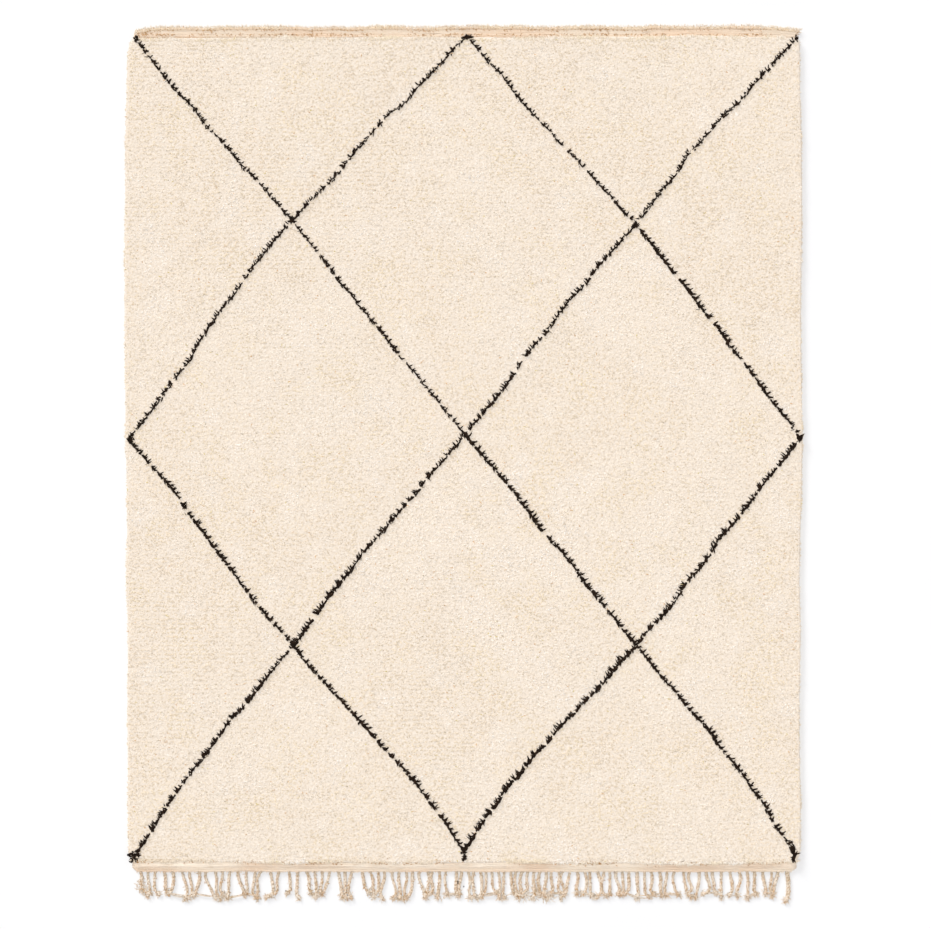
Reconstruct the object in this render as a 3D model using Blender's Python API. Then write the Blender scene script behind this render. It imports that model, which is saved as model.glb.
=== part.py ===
"""Hand-knotted wool rug with a dark diamond lattice in an ivory pile, lying flat.

Metres, +Z up. The rug lies on Z = 0 with its length along Y: the rolled head hem is at +Y, the
flat-woven foot band and the fringe are at -Y. The origin is on the floor, under the middle of
the rug with its fringe.

Two pieces: the cloth, which is one piece from hem to foot band with its knotted pile, and the
fringe, one comb of twisted warp ends along the foot.
"""

import math
import random
from typing import NamedTuple

import bmesh
import bpy
from mathutils import Vector

# Driving dimensions
WOVEN_LENGTH = 3.006
FRINGE_REACH = 0.120
PILE_TOP = 0.024
BAND_THICKNESS = 0.005
PILE_LEAN = 0.014
SWELL = 0.0012
CLEARANCE = 0.0004

# How finely the cloth is divided
COLUMNS = 16
MIDDLE_SECTIONS = 18

# The fringe
SPINE_DEPTH = 0.006
SPINE_HEIGHT = 0.004
STRAND_WIDTH = 0.0125
STRAND_HEIGHT = 0.009
TIP_PITCH = 0.0155
SHORTEST_STRAND = 0.093
FIRST_ROOT = -1.149
LAST_ROOT = 1.150
EDGE_PITCH = 0.0295
DENSE_PITCH = 0.0220
DENSE_PLACE = 0.22
DENSE_REACH = 0.60
WIDE_GAPS = (-0.385, -0.055)
GAP_WIDENING = 0.008
FRINGE_SEED = 17

WHOLE_LENGTH = WOVEN_LENGTH + FRINGE_REACH
HEAD_Y = WHOLE_LENGTH / 2
FOOT_Y = HEAD_Y - WOVEN_LENGTH


class Edge(NamedTuple):
    """How far the woven cloth reaches from the middle line, at one place along it."""

    along: float  # share of the woven length, 0 at the foot band and 1 at the head hem
    left: float
    right: float


class Section(NamedTuple):
    """One cross-section of the cloth near an end."""

    from_end: float  # distance from the end of the cloth
    top: float  # height of the upper face
    lean: float  # share of the lean of the pile past the woven edge
    wave: float  # share of the wavy line along which the pile starts


EDGES = (
    Edge(along=0.000, left=1.176, right=1.181),
    Edge(along=0.020, left=1.177, right=1.182),
    Edge(along=0.060, left=1.181, right=1.186),
    Edge(along=0.190, left=1.183, right=1.180),
    Edge(along=0.280, left=1.181, right=1.186),
    Edge(along=0.360, left=1.190, right=1.180),
    Edge(along=0.420, left=1.181, right=1.186),
    Edge(along=0.490, left=1.189, right=1.192),
    Edge(along=0.660, left=1.193, right=1.186),
    Edge(along=0.810, left=1.191, right=1.190),
    Edge(along=0.960, left=1.186, right=1.182),
    Edge(along=0.984, left=1.174, right=1.182),
    Edge(along=1.000, left=1.166, right=1.194),
)

# The foot: a flat-woven band, then the pile rises over it.
FOOT = (
    Section(from_end=0.000, top=0.8 * BAND_THICKNESS, lean=0.0, wave=0.0),
    Section(from_end=0.003, top=BAND_THICKNESS, lean=0.0, wave=0.0),
    Section(from_end=0.033, top=BAND_THICKNESS, lean=0.0, wave=1.0),
    Section(from_end=0.037, top=0.014, lean=0.5, wave=1.0),
    Section(from_end=0.050, top=0.020, lean=0.9, wave=1.0),
    Section(from_end=0.085, top=PILE_TOP, lean=1.0, wave=0.3),
)

# The head: a rolled hem, the groove behind it, a narrow flat-woven strip, then the pile.
HEAD = (
    Section(from_end=0.000, top=0.005, lean=0.0, wave=0.0),
    Section(from_end=0.004, top=0.011, lean=0.0, wave=0.0),
    Section(from_end=0.011, top=0.013, lean=0.0, wave=0.0),
    Section(from_end=0.018, top=0.010, lean=0.0, wave=0.0),
    Section(from_end=0.022, top=0.006, lean=0.0, wave=0.2),
    Section(from_end=0.029, top=0.008, lean=0.0, wave=0.5),
    Section(from_end=0.036, top=0.007, lean=0.0, wave=1.0),
    Section(from_end=0.040, top=0.015, lean=0.5, wave=1.0),
    Section(from_end=0.053, top=0.020, lean=0.9, wave=1.0),
    Section(from_end=0.090, top=PILE_TOP, lean=1.0, wave=0.3),
)


class Strand(NamedTuple):
    """One twisted warp end of the fringe, from its root at the foot band to its tip."""

    root: float
    tip: float
    length: float
    bow: float


def smooth(share):
    return share * share * (3 - 2 * share)


def edge_at(along, side):
    """Distance from the middle line to the woven edge on the side named left or right."""
    for low, high in zip(EDGES, EDGES[1:]):
        if along <= high.along:
            share = smooth(max(0.0, along - low.along) / (high.along - low.along))
            return getattr(low, side) * (1 - share) + getattr(high, side) * share
    return getattr(EDGES[-1], side)


def pile_wave(x):
    """How far into the cloth the line where the pile starts moves, across the rug."""
    return 0.0022 * math.sin(5.1 * x + 0.6) + 0.0016 * math.sin(13.0 * x) - 0.002 * math.sin(2.3 * x)


def swell(x, y):
    """Gentle unevenness of the upper face of the pile."""
    return SWELL * (math.sin(4.3 * x + 1.1 * y) * math.sin(3.7 * y + 0.4) - 1)


def cloth_ring(section, end_y, inward):
    """Closed ring of points across the cloth: its underside, right side, top, then left side."""
    y = end_y + inward * section.from_end
    along = (y - FOOT_Y) / WOVEN_LENGTH
    left = edge_at(along, "left")
    right = edge_at(along, "right")
    lean = section.lean * PILE_LEAN
    in_pile = section.lean if section.top > BAND_THICKNESS else 0.0

    def point(x, z):
        return Vector((x, y + inward * section.wave * pile_wave(x), z))

    def side(reach, sign):
        """The three points up one side, from the woven edge out over the leaning pile."""
        rows = ((0.15, 0.0), (0.45, 1.0), (0.85, 0.7))
        return [point(sign * (reach + share * lean), height * section.top) for height, share in rows]

    shares = [column / COLUMNS for column in range(COLUMNS + 1)]
    bottom = [point(-left + share * (left + right), 0.0) for share in shares]
    rim = 0.25 * section.top
    top = []
    for share in shares:
        x = -(left - rim) + share * (left + right - 2 * rim)
        top.append(point(x, section.top + in_pile * swell(x, y)))
    return bottom, side(right, 1), top, side(left, -1)


def cloth_sections():
    """Every section of the cloth from foot to head, with the end it is measured from."""
    sections = [(section, FOOT_Y, 1) for section in FOOT]
    first = FOOT[-1].from_end
    last = WOVEN_LENGTH - HEAD[-1].from_end
    for number in range(1, MIDDLE_SECTIONS):
        place = first + (last - first) * number / MIDDLE_SECTIONS
        sections.append((Section(from_end=place, top=PILE_TOP, lean=1.0, wave=0.0), FOOT_Y, 1))
    sections += [(section, HEAD_Y, -1) for section in reversed(HEAD)]
    return sections


def build_cloth(mesh):
    bm = bmesh.new()
    rings = []
    for section, end_y, inward in cloth_sections():
        bottom, right, top, left = cloth_ring(section, end_y, inward)
        rings.append([bm.verts.new(place) for place in bottom + right + top[::-1] + left[::-1]])

    size = len(rings[0])
    for near, far in zip(rings, rings[1:]):
        for index in range(size):
            following = (index + 1) % size
            bm.faces.new((near[index], near[following], far[following], far[index]))

    for ring in (rings[0], rings[-1]):
        bottom = ring[: COLUMNS + 1]
        right = ring[COLUMNS + 1 : COLUMNS + 4]
        top = ring[COLUMNS + 4 : 2 * COLUMNS + 5][::-1]
        left = ring[2 * COLUMNS + 5 :]
        for column in range(COLUMNS):
            bm.faces.new((bottom[column], bottom[column + 1], top[column + 1], top[column]))
        bm.faces.new([bottom[-1], *right, top[-1]])
        bm.faces.new([bottom[0], top[0], *left])

    bmesh.ops.recalc_face_normals(bm, faces=bm.faces)
    bm.to_mesh(mesh)
    bm.free()


def fringe_roots(rng):
    """Roots from left to right, in groups whose strands lean together, as a list of groups."""
    groups = []
    x = FIRST_ROOT
    while x < LAST_ROOT:
        group = []
        for _ in range(rng.choice((1, 2, 2, 2, 3, 3, 4))):
            if x > LAST_ROOT:
                break
            group.append(x)
            dense = math.exp(-(((x - DENSE_PLACE) / DENSE_REACH) ** 2))
            pitch = EDGE_PITCH + (DENSE_PITCH - EDGE_PITCH) * dense
            step = pitch * rng.uniform(0.80, 1.15)
            if any(x < gap < x + step for gap in WIDE_GAPS):
                step += GAP_WIDENING
            x += step
        x += 0.0015
        groups.append(group)
    return groups


def fringe_strands():
    rng = random.Random(FRINGE_SEED)
    strands = []
    for group in fringe_roots(rng):
        middle = sum(group) / len(group)
        drift = rng.uniform(-0.005, 0.005)
        for place, root in enumerate(group):
            tip = middle + drift + (place - (len(group) - 1) / 2) * TIP_PITCH
            length = SHORTEST_STRAND + 0.020 * rng.random() ** 1.3
            strands.append(Strand(root, tip, length, rng.uniform(-0.0012, 0.0012)))
    last = strands[-1]
    strands[-1] = last._replace(length=FRINGE_REACH - CLEARANCE)
    return strands


def strand_centre(strand, share):
    """Point on the floor under the strand's middle line, and its direction, at a share of it."""
    def place(at):
        x = strand.root + (strand.tip - strand.root) * smooth(at) + strand.bow * math.sin(math.pi * at)
        front = FOOT_Y - CLEARANCE - SPINE_DEPTH
        return Vector((x, front - at * (strand.length - SPINE_DEPTH), 0.0))

    ahead = place(min(1.0, share + 0.01)) - place(share - 0.01)
    return place(share), ahead.normalized()


def strand_ring(strand, share, width, height):
    """Six points round a strand that lies on the floor, in the order of the root's ring."""
    middle, ahead = strand_centre(strand, share)
    across = Vector((-ahead.y, ahead.x, 0.0))
    half = width / 2
    rows = ((-0.6, 0.0), (0.6, 0.0), (1.0, 0.45), (0.55, 1.0), (-0.55, 1.0), (-1.0, 0.45))
    return [middle + across * (half * share_x) + Vector((0, 0, height * up)) for share_x, up in rows]


def build_fringe(mesh):
    """A thin spine along the foot band, with one lying strand after another out of its front."""
    bm = bmesh.new()
    strands = fringe_strands()
    back = FOOT_Y - CLEARANCE
    front = back - SPINE_DEPTH

    def station(x):
        """Points round the spine at x: back foot, back top, front top, front middle, front foot."""
        rows = ((back, 0.0), (back, 1.0), (front, 1.0), (front, 0.45), (front, 0.0))
        return [bm.verts.new((x, y, up * SPINE_HEIGHT)) for y, up in rows]

    first_end = strands[0].root - STRAND_WIDTH
    last_end = strands[-1].root + STRAND_WIDTH
    stations = [station(first_end)]
    for strand in strands:
        stations.append(station(strand.root - STRAND_WIDTH / 2))
        stations.append(station(strand.root + STRAND_WIDTH / 2))
    stations.append(station(last_end))

    for number, (near, far) in enumerate(zip(stations, stations[1:])):
        strand_starts_here = number % 2 == 1
        for index in range(5):
            following = (index + 1) % 5
            if strand_starts_here and index in (2, 3):
                continue
            bm.faces.new((near[index], near[following], far[following], far[index]))
    bm.faces.new(stations[0])
    bm.faces.new(stations[-1])

    for number, strand in enumerate(strands):
        near, far = stations[2 * number + 1], stations[2 * number + 2]
        ring = [near[4], far[4], far[3], far[2], near[2], near[3]]
        for share, width, height in (
            (0.40, STRAND_WIDTH, STRAND_HEIGHT),
            (0.78, 1.06 * STRAND_WIDTH, STRAND_HEIGHT),
            (1.00, 0.80 * STRAND_WIDTH, 0.6 * STRAND_HEIGHT),
        ):
            ahead = [bm.verts.new(place) for place in strand_ring(strand, share, width, height)]
            for index in range(6):
                following = (index + 1) % 6
                bm.faces.new((ring[index], ring[following], ahead[following], ahead[index]))
            ring = ahead
        bm.faces.new(ring)

    bmesh.ops.recalc_face_normals(bm, faces=bm.faces)
    bm.to_mesh(mesh)
    bm.free()


def wool(name, colour):
    """Undyed sheep's wool: matt, with no shine of its own."""
    material = bpy.data.materials.new(name)
    material.use_nodes = True
    shader = material.node_tree.nodes["Principled BSDF"]
    shader.inputs["Base Color"].default_value = (*colour, 1.0)
    shader.inputs["Roughness"].default_value = 0.9
    shader.inputs["Metallic"].default_value = 0.0
    return material


def add_piece(name, build, material):
    mesh = bpy.data.meshes.new(name)
    build(mesh)
    mesh.materials.append(material)
    piece = bpy.data.objects.new(name, mesh)
    bpy.context.scene.collection.objects.link(piece)
    return piece


def main():
    for old in list(bpy.data.objects):
        bpy.data.objects.remove(old)
    add_piece("rug_cloth", build_cloth, wool("ivory_wool_pile", (0.88, 0.80, 0.69)))
    add_piece("fringe", build_fringe, wool("warp_wool", (0.66, 0.54, 0.41)))


main()
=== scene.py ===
"""The looks of a hand-knotted wool rug: an ivory pile with a dark diamond lattice, spread on a floor.

Metres, +Z up, X across the rug and Y along it, with the rolled head hem at +Y and the fringe at -Y.
The outline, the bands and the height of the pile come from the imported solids. All yarn is modelled:
the cut ends of the pile, the rows of weft, the wound hem and the twisted cords of the fringe. Single
hairs wouldn't show, so each cut end or loose hair stands for a small bunch.
"""
import math
import random
from typing import NamedTuple

import bpy
import numpy as np
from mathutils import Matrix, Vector
from mathutils.bvhtree import BVHTree


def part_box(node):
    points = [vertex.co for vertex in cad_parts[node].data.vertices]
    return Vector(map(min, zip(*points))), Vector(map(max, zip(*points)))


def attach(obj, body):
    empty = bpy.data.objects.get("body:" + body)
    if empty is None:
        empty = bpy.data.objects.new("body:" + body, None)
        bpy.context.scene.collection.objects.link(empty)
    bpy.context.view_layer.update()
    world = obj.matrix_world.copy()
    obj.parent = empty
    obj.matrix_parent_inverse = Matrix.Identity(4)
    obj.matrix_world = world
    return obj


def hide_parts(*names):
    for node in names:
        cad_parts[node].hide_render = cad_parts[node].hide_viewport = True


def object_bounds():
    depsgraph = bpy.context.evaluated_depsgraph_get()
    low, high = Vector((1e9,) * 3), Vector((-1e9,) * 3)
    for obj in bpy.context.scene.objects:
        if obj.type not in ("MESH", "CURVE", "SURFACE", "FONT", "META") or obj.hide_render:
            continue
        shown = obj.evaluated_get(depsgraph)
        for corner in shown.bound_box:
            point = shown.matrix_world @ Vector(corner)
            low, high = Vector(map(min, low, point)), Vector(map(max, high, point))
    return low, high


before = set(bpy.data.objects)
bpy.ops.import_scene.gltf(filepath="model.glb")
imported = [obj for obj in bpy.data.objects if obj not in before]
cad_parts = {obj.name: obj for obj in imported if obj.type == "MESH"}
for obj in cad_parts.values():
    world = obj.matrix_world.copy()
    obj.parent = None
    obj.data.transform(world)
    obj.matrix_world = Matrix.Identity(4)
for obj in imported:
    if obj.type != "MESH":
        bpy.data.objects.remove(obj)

CAD_BOX = [list(corner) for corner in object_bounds()]

# The knotted pile
ROW_PITCH = 0.0155  # one row of knots to the next
YARN_PITCH = 0.0047  # one cut end to the next along a row
YARN_WIDTH = 0.0054
FLECK_THINNESS = 0.6  # width of a fleck over that of an ivory end
CLEARED_UNDER_KNOTS = 0.9  # share of the ivory ends missing right under a dark knot
FLATNESS = 0.40  # height over width of an end that lies pressed against the rest
KNOT_STEP = 0.0190  # one dark knot to the next along the lattice
PILE_STRIPS = 5
WEAVE_THICKNESS = 0.0045
BED_TOP = 0.0172  # where the ends stand too close together to be seen apart
SIDE_RIM_ENDS = 2800  # ends that flop over the rim, along each side and each end of the pile
END_RIM_ENDS = 3400
WEFT_PITCH = 0.0041  # one row of weft to the next, on the foot band and the head strip
WEFT_ROWS = 6
WEFT_POINTS = 240  # along each row

# The fringe, as in the part
CLEARANCE = 0.0004
TIP_PITCH = 0.0155
SHORTEST_STRAND = 0.093
LONGEST_STRAND = 0.120
FIRST_ROOT = -1.149
LAST_ROOT = 1.150
EDGE_PITCH = 0.0295
DENSE_PITCH = 0.0220
DENSE_PLACE = 0.22
DENSE_REACH = 0.60
WIDE_GAPS = (-0.385, -0.055)
GAP_WIDENING = 0.008
FRINGE_SEED = 17

# The looks of the fringe
CORD_POINTS = 26  # along each cord
CORD_TWIST = 0.025  # one full turn of the two plies
LAST_CORD_SIZE = 1.4  # the cord at the right end is thicker than the rest
UNTIED_IN_GROUP = 0.15  # share of the cords of a group that aren't tied to the next cord
UNTIED_TO_NEXT = 0.75  # and the same from one group to the next
FRINGE_TANGLES = (  # across, along, width, height, and how many loose ends
    (-1.144, -1.492, 0.016, 0.022, 60), (-1.139, -1.514, 0.014, 0.016, 40),
    (0.205, -1.530, 0.030, 0.014, 60), (0.262, -1.516, 0.036, 0.018, 80), (0.300, -1.535, 0.026, 0.012, 50),
)
DARK_SNIPS = (  # across, along, heading and width: two side by side, and one apart
    (-0.022, -1.476, -1.3, 0.0052), (-0.020, -1.481, -1.8, 0.0046), (0.000, -1.493, -1.5, 0.0038),
)

# The view
VIEW_WIDTH = 3.3106  # of floor, from the left to the right of the picture
VIEW_MIDDLE = (0.0062, 0.0036)


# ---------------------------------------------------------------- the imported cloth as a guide

CLOTH_LOW, CLOTH_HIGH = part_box("rug_cloth")
FOOT_Y, HEAD_Y = CLOTH_LOW.y, CLOTH_HIGH.y
PILE_TOP = CLOTH_HIGH.z
FAR = 3.0  # a place outside the rug, from which its outline is felt


def cloth_tree():
    """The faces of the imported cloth, for finding how far it reaches."""
    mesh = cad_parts["rug_cloth"].data
    return BVHTree.FromPolygons([v.co for v in mesh.vertices], [p.vertices for p in mesh.polygons])


CLOTH = cloth_tree()


def side_line(height, sign):
    """Places along the cloth, and how far it reaches at that height on the left (-1) or right (1)."""
    along = np.linspace(FOOT_Y + 0.002, HEAD_Y - 0.002, 260)
    reach = []
    for y in along:
        hit = CLOTH.ray_cast(Vector((sign * FAR, y, height)), Vector((-sign, 0, 0)))[0]
        reach.append(abs(hit.x) if hit else 0.0)
    return along, np.array(reach)


def end_line(height, sign):
    """Places across the cloth, and the Y where it starts at that height, from foot (-1) or head (1)."""
    across = np.linspace(-1.14, 1.14, 180)
    start = []
    for x in across:
        hit = CLOTH.ray_cast(Vector((x, sign * FAR, height)), Vector((0, -sign, 0)))[0]
        start.append(hit.y)
    return across, np.array(start)


WOVEN_LEFT = side_line(0.0004, -1)
WOVEN_RIGHT = side_line(0.0004, 1)
PILE_LEFT = side_line(0.45 * PILE_TOP, -1)
PILE_RIGHT = side_line(0.45 * PILE_TOP, 1)
PILE_FOOT = end_line(0.6 * PILE_TOP, -1)
PILE_HEAD = end_line(0.6 * PILE_TOP, 1)
PILE_HEAD[1][:] += 0.0012  # the ends there lean over the woven strips
PILE_FOOT[1][:] -= 0.0110


def on_line(line, at):
    """The value of a line of the outline at each place along it."""
    return np.interp(at, line[0], line[1])


# ---------------------------------------------------------------- numbers and meshes


def smooth(share):
    """A share from 0 to 1 that starts and stops gently."""
    return share * share * (3 - 2 * share)


def patches(seed, x, y, size):
    """Smooth random values from -1 to 1 over the rug, in patches of about that size. Each use has
    a seed of its own, so that no two patterns agree."""
    span = 3.6  # the rug with some room round it
    cells = int(span / size) + 3
    grid = np.random.default_rng(seed).uniform(-1, 1, (cells, cells))
    u, v = (np.asarray(x) + span / 2) / size, (np.asarray(y) + span / 2) / size
    i, j = np.floor(u).astype(int), np.floor(v).astype(int)
    fu, fv = smooth(u - i), smooth(v - j)
    i, j, ni, nj = i % cells, j % cells, (i + 1) % cells, (j + 1) % cells
    low = grid[i, j] * (1 - fu) + grid[ni, j] * fu
    high = grid[i, nj] * (1 - fu) + grid[ni, nj] * fu
    return low * (1 - fv) + high * fv


def mesh_piece(name, points, faces, materials, planar=True, face_material=None):
    """A shown piece from arrays of points and faces of one size, mapped from above if planar."""
    points, faces = np.asarray(points, np.float32), np.asarray(faces, np.int32)
    corners = faces.shape[1]
    mesh = bpy.data.meshes.new(name)
    mesh.vertices.add(len(points))
    mesh.vertices.foreach_set("co", points.ravel())
    mesh.loops.add(faces.size)
    mesh.loops.foreach_set("vertex_index", faces.ravel())
    mesh.polygons.add(len(faces))
    mesh.polygons.foreach_set("loop_start", np.arange(0, faces.size, corners, dtype=np.int32))
    if face_material is not None:
        mesh.polygons.foreach_set("material_index", face_material.astype(np.int32))
    mesh.update(calc_edges=True)
    mesh.shade_smooth()
    for material in materials:
        mesh.materials.append(material)
    if planar:
        flat = points[:, :2]
        low, high = flat.min(0), flat.max(0)
        mesh.uv_layers.new(name="OFBake").uv.foreach_set(
            "vector", ((flat - low) / (high - low))[faces.ravel()].astype(np.float32).ravel()
        )
    piece = bpy.data.objects.new(name, mesh)
    bpy.context.scene.collection.objects.link(piece)
    return piece


def yarn_ends(roots, heading, reach, rise, tip_height, width, rings=1, curl=0.0):
    """Points and triangles of many short yarn ends, ridged above and open below. Each leaves its
    root, rises and lies over towards its heading, with a side curl, and tapers at both ends."""
    count = len(roots)
    reach, rise, tip_height, width, curl = (
        np.broadcast_to(np.asarray(value, float), count) for value in (reach, rise, tip_height, width, curl)
    )
    ahead = np.stack([np.cos(heading), np.sin(heading), np.zeros(count)], 1)
    aside = np.stack([-ahead[:, 1], ahead[:, 0], np.zeros(count)], 1)
    up = np.array([0.0, 0.0, 1.0])
    knee = roots + ahead * (0.28 * reach)[:, None] + up * rise[:, None]
    tip = roots + ahead * reach[:, None] + up * tip_height[:, None] + aside * curl[:, None]

    def along(share):
        """Points at that share of the way from root to tip, on a curve that bends at the knee."""
        return roots * (1 - share) ** 2 + knee * 2 * share * (1 - share) + tip * share**2

    shares = {1: (0.50,), 2: (0.36, 0.76)}[rings]
    widths = {1: (1.0,), 2: (1.0, 0.85)}[rings]
    parts = [along(0.0)[:, None]]
    for share, wide in zip(shares, widths):
        direction = along(min(share + 0.05, 1.0)) - along(share - 0.05)
        direction /= np.linalg.norm(direction, axis=1)[:, None]
        side = np.cross(direction, up)
        side /= np.maximum(np.linalg.norm(side, axis=1), 1e-6)[:, None]
        over = FLATNESS * np.cross(side, direction)
        half = (width * wide / 2)[:, None]
        ring = []
        for degrees in (198, 90, -18):  # one low edge, the ridge and the other low edge
            turn = math.radians(degrees)
            ring.append(along(share) + half * (math.cos(turn) * side + math.sin(turn) * over))
        parts.append(np.stack(ring, 1))
    parts.append(along(1.0)[:, None])
    points = np.concatenate(parts, 1)

    faces = []
    last = 1 + 3 * rings
    for k in (1, 2):
        faces += [(0, k + 1, k), (last, last - 4 + k, last - 3 + k)]
        for ring in range(rings - 1):
            a, b = 3 * ring + k, 3 * ring + k + 1
            faces += [(a, b, b + 3), (a, b + 3, a + 3)]
    starts = np.arange(count)[:, None, None] * points.shape[1]
    return points.reshape(-1, 3), (np.array(faces)[None] + starts).reshape(-1, 3)


def join(parts):
    """Several (points, faces) pairs as one."""
    points, faces, total = [], [], 0
    for some_points, some_faces in parts:
        points.append(some_points)
        faces.append(some_faces + total)
        total += len(some_points)
    return np.concatenate(points), np.concatenate(faces)


def grid_faces(rows, columns, closed=False):
    """Quads between the points of a grid that is stored row by row, its rows closed into rings or not."""
    across = columns if closed else columns - 1
    i, j = np.meshgrid(np.arange(rows - 1), np.arange(across), indexing="ij")
    following = (j + 1) % columns
    quads = [i * columns + j, i * columns + following, (i + 1) * columns + following, (i + 1) * columns + j]
    return np.stack(quads, -1).reshape(-1, 4)


# ---------------------------------------------------------------- materials


def linear(colour):
    """A colour written as sRGB hex, as the linear values that a shader takes."""
    channels = [int(colour[place : place + 2], 16) / 255 for place in (1, 3, 5)]
    return [c / 12.92 if c <= 0.04045 else ((c + 0.055) / 1.055) ** 2.4 for c in channels] + [1.0]


def add_node(tree, kind, settings=(), values=(), links=()):
    """Adds a node with its own settings, the values of its inputs and what is linked to them."""
    node = tree.nodes.new(kind)
    for name, value in dict(settings).items():
        setattr(node, name, value)
    for name, value in dict(values).items():
        node.inputs[name].default_value = value
    for name, source in dict(links).items():
        tree.links.new(source, node.inputs[name])
    return node


def spots(tree, size_mm, start, end, stretch=(1, 1, 1)):
    """Noise with features of that size in millimetres, as a share that goes from 0 at start to 1 at end."""
    place = add_node(tree, "ShaderNodeTexCoord").outputs["Object"]
    scale = [1000 / (size_mm * s) for s in stretch]
    place = add_node(tree, "ShaderNodeMapping", values={"Scale": scale}, links={"Vector": place}).outputs[0]
    fineness = {"Scale": 1.0, "Detail": 2.0}
    noise = add_node(tree, "ShaderNodeTexNoise", values=fineness, links={"Vector": place}).outputs[0]
    span = {"From Min": start, "From Max": end}
    return add_node(tree, "ShaderNodeMapRange", values=span, links={"Value": noise}).outputs[0]


def by_place(tree, axis, start, end, most=1.0, both_sides=False):
    """A share that grows from 0 at start to the most at end, in metres along an axis of the rug,
    or out from its middle to both sides."""
    place = add_node(tree, "ShaderNodeTexCoord").outputs["Object"]
    place = add_node(tree, "ShaderNodeSeparateXYZ", links={"Vector": place}).outputs[axis]
    if both_sides:
        place = add_node(tree, "ShaderNodeMath", {"operation": "ABSOLUTE"}, links={0: place}).outputs[0]
    span = {"From Min": start, "From Max": end, "To Max": most}
    return add_node(tree, "ShaderNodeMapRange", values=span, links={"Value": place}).outputs[0]


def dye(tree, first, *shades):
    """Colours a material: its first shade, and each further shade over that where its share is high."""
    colour = None
    for share, shade in shades:
        values, links = {7: linear(shade)}, {0: share}
        if colour is None:
            values[6] = linear(first)
        else:
            links[6] = colour
        colour = add_node(tree, "ShaderNodeMix", {"data_type": "RGBA"}, values, links).outputs[2]
    tree.links.new(colour, tree.nodes["Principled BSDF"].inputs["Base Color"])


def raise_lumps(tree, size_mm, depth_mm, start=0.3, end=0.7, stretch=(1, 1, 1)):
    """Makes the surface lumpy, with lumps of that size and depth in millimetres."""
    height = spots(tree, size_mm, start, end, stretch)
    depth = {"Strength": 1.0, "Distance": depth_mm / 1000}
    raised = add_node(tree, "ShaderNodeBump", values=depth, links={"Height": height}).outputs["Normal"]
    tree.links.new(raised, tree.nodes["Principled BSDF"].inputs["Normal"])


def wool(name, sheen=0.1):
    """Undyed sheep's wool spun by hand: matt and fuzzy, so it scatters a little light at its edges
    and never shines. Every wool of the rug starts from this."""
    material = bpy.data.materials.new(name)
    material.use_nodes = True
    shader = material.node_tree.nodes["Principled BSDF"]
    shader.inputs["Roughness"].default_value = 0.95
    shader.inputs["Specular IOR Level"].default_value = 0.15
    shader.inputs["Sheen Weight"].default_value = sheen
    shader.inputs["Sheen Roughness"].default_value = 0.6
    return material, material.node_tree


def ivory_pile_wool():
    """Ivory sheep's wool, hand-spun, knotted and cut with a blade: soft matt cream. Batches of fleece
    leave patches of 650, 190 and 130 mm, paler or yellower, and it is yellower towards both sides
    and the head. Every 9 mm it is darker with painted shade, where ends lie together. Fibres of
    0.03 mm are too fine to show, so their speckle is drawn at 3.6 mm."""
    material, tree = wool("ivory_pile_wool")
    dye(
        tree, "#EBDCC9",
        (spots(tree, 650, 0.45, 0.55), "#F8EFE5"),
        (by_place(tree, "X", 0.55, 1.20, 0.5, both_sides=True), "#EDDCC5"),
        (by_place(tree, "Y", 0.20, 1.50, 0.4), "#EBDBC6"),
        (spots(tree, 190, 0.48, 0.62), "#EDDDC3"),
        (spots(tree, 130, 0.52, 0.66), "#F8F1EA"),
        # painted shade, in spots of 9 mm, where ends lie together
        (spots(tree, 9, 0.50, 0.74), "#DAC8AD"),
        (spots(tree, 3.6, 0.46, 0.66), "#D6C5AC"),
    )
    return material


def packed_pile_wool():
    """The same hand-spun wool below its cut tips, pressed together: a soft lumpy ivory without
    glints, painted a little paler than the cut ends as painted light in the shaded gaps between them.
    Ends 5 mm wide are drawn as shades of 9 mm and lumps of 7 mm, so that they show."""
    material, tree = wool("packed_pile_wool")
    # painted light: a base paler than the ivory ends, in the shaded gaps between them
    dye(tree, "#EEE2D4", (spots(tree, 9, 0.35, 0.65), "#E5D6C4"))
    raise_lumps(tree, 7, 2.0, 0.2, 0.8)
    return material


def fleck_wool(name, fleece, darker):
    """Darker wool, spun in by hand with the ivory: matt specks whose tone changes every 12 mm.
    Single hairs are too fine to show, so each end stands for a bunch of them."""
    material, tree = wool(name)
    dye(tree, fleece, (spots(tree, 12, 0.35, 0.65), darker))
    return material


def dark_pile_wool():
    """Brown-black sheep's wool, hand-spun undyed and cut: nearly black, and browner where hairs
    catch the light. The hairs are too fine to show, so the brown is drawn in spots of 9 mm."""
    material, tree = wool("dark_pile_wool", sheen=0.0)
    dye(tree, "#1A110A", (spots(tree, 9, 0.45, 0.75), "#36261A"))
    return material


def flat_woven_wool():
    """Beige hand-spun wool woven flat, the weft beaten down over the warp: matt, with low ribs 4 mm
    apart, streaks of 7 mm by 49 mm where thick and thin yarn alternate, and stretches of 330 mm in a
    tanner yarn. Next to the first knots it is painted paler, as painted light against the pile's
    shade on the foot band. Single hairs are too fine to show, so their speckle is drawn at 6 mm."""
    material, tree = wool("flat_woven_wool")
    dye(
        tree, "#E8D8C4",
        # painted light: paler from 5 mm to 19 mm in from the foot band's edge, where the pile shades it
        (by_place(tree, "Y", FOOT_Y + 0.005, FOOT_Y + 0.019), "#F8E9D6"),
        (by_place(tree, "Y", -0.5, 0.5), "#E7D5C0"),
        (spots(tree, 110, 0.44, 0.60, stretch=(3, 1, 1)), "#E7CEB5"),
        (spots(tree, 7, 0.58, 0.84, stretch=(7, 1, 1)), "#D9C2A5"),
        (spots(tree, 6, 0.58, 0.75), "#EBDDCB"),
    )
    raise_lumps(tree, 4, 0.8, stretch=(2.2, 1, 1))
    return material


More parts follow.
